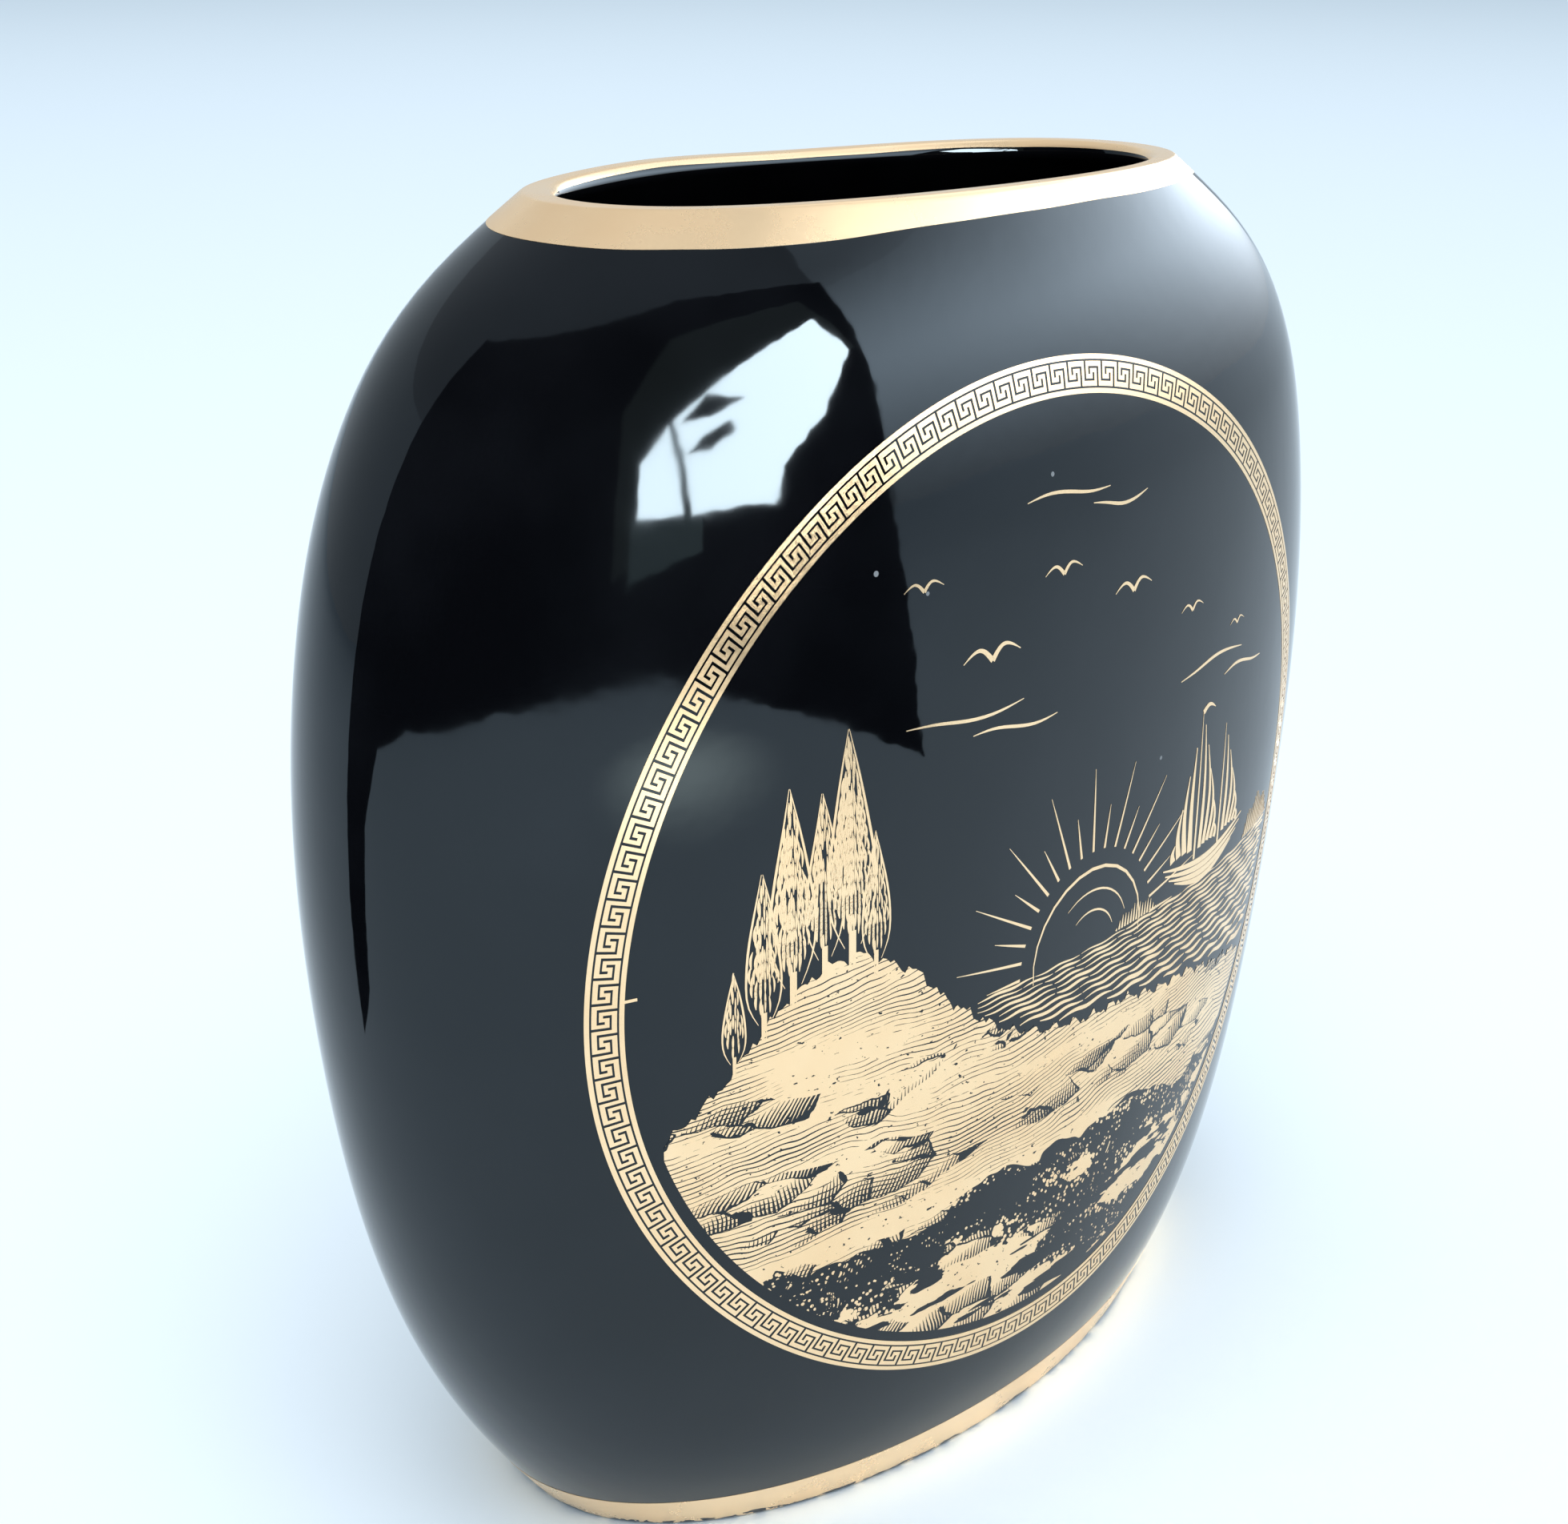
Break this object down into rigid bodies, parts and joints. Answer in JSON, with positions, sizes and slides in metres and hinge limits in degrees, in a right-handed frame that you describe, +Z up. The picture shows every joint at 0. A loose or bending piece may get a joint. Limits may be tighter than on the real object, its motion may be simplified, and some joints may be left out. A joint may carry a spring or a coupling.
{
  "type": "vase",
  "caption": "Flat oval ceramic vase with a narrow slot mouth, black gloss glaze, gilded lip and foot, and a round front medallion in a Greek key border.",
  "frame": {"origin": "under the middle of the foot, on the plane that the vase stands on", "axes": "+Z up, X along the width, the medallion faces -Y"},
  "size_m": [0.197, 0.0871, 0.2002],
  "materials": {
    "black_glaze": "high gloss black glaze over fired clay, bare under the foot ring",
    "gold_lustre": "thin fired-on gold, pale and smooth, slightly worn at the foot and lip"
  },
  "bodies": {
    "root": {"vase_body": "black_glaze", "rim_gilding": "gold_lustre", "foot_gilding": "gold_lustre", "medallion_outer_line": "gold_lustre", "medallion_key_band": "gold_lustre", "medallion_inner_line": "gold_lustre", "medallion_picture": "gold_lustre"}
  },
  "joints": []
}
